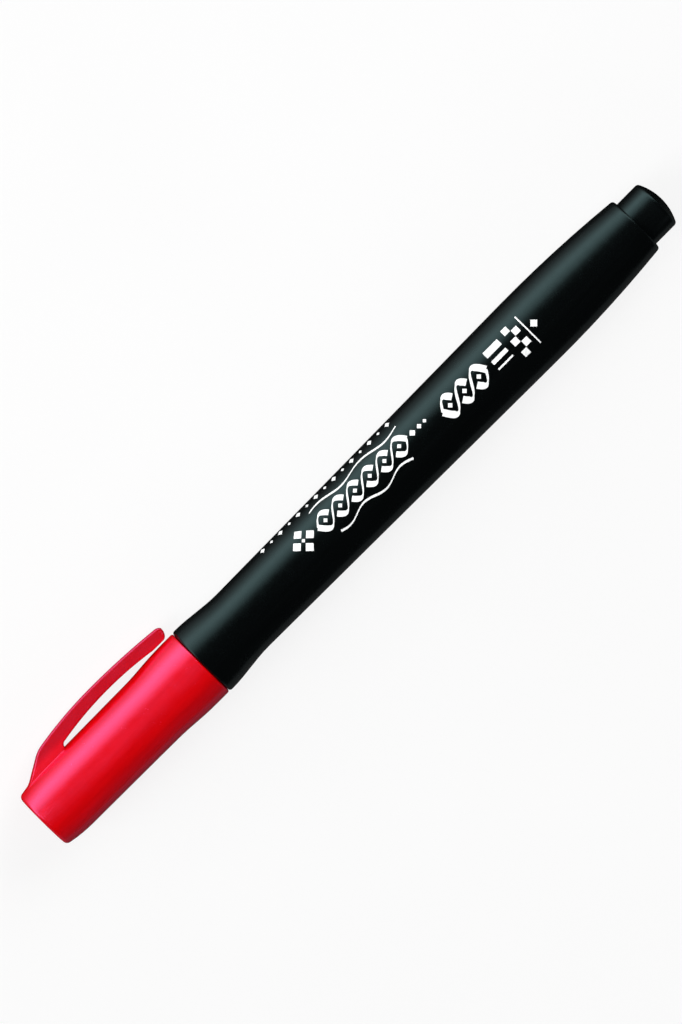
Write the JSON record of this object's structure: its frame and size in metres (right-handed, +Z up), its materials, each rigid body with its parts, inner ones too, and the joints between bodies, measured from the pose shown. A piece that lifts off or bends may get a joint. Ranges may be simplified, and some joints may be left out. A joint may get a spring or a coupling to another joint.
{
  "type": "calligraphy marker",
  "caption": "Capped felt-tip calligraphy marker with a flat chisel nib, slim tapered barrel, round tail stud and a curved flexing pocket clip on its cap.",
  "frame": {"origin": "middle of the bounding box's floor, on the table that the pen lies on", "axes": "+X along the pen, towards the nib and the cap's closed end; +Z up; the pocket clip points towards -Y and down, with its edge on the table"},
  "size_m": [0.139, 0.0156, 0.013],
  "materials": {
    "black_plastic": "satin",
    "neck_plastic": "satin",
    "red_plastic": "semi-gloss",
    "liner_plastic": "translucent",
    "felt": "ink-soaked fibre",
    "ink_fibre": "ink-soaked fibre",
    "film": "clear film"
  },
  "bodies": {
    "pen": {"barrel": "black_plastic", "front_section": "neck_plastic", "nib": "felt", "ink_reservoir": "ink_fibre", "reservoir_wrap": "film", "tail_plug": "black_plastic"},
    "liner": {"inner_cap": "liner_plastic"},
    "cap": {"cap_shell": "red_plastic", "clip_foot": "red_plastic"},
    "clip": {"clip_arm": "red_plastic"}
  },
  "joints": [
    {"name": "cap_pull", "type": "slide", "parent": "pen", "child": "liner", "axis": [1, 0, 0], "range_m": [0, 0.045]},
    {"name": "cap_twist", "type": "hinge", "parent": "liner", "child": "cap", "pos_m": [0.0475, 0.00135, 0.0065], "axis": [-1, 0, 0], "continuous": true},
    {"name": "clip_flex", "type": "hinge", "parent": "cap", "child": "clip", "pos_m": [0.057, -0.00547, 0.00251], "axis": [0, -0.5044, 0.8635], "range_deg": [0, 5], "stiffness_Nm_per_rad": 0.4}
  ]
}
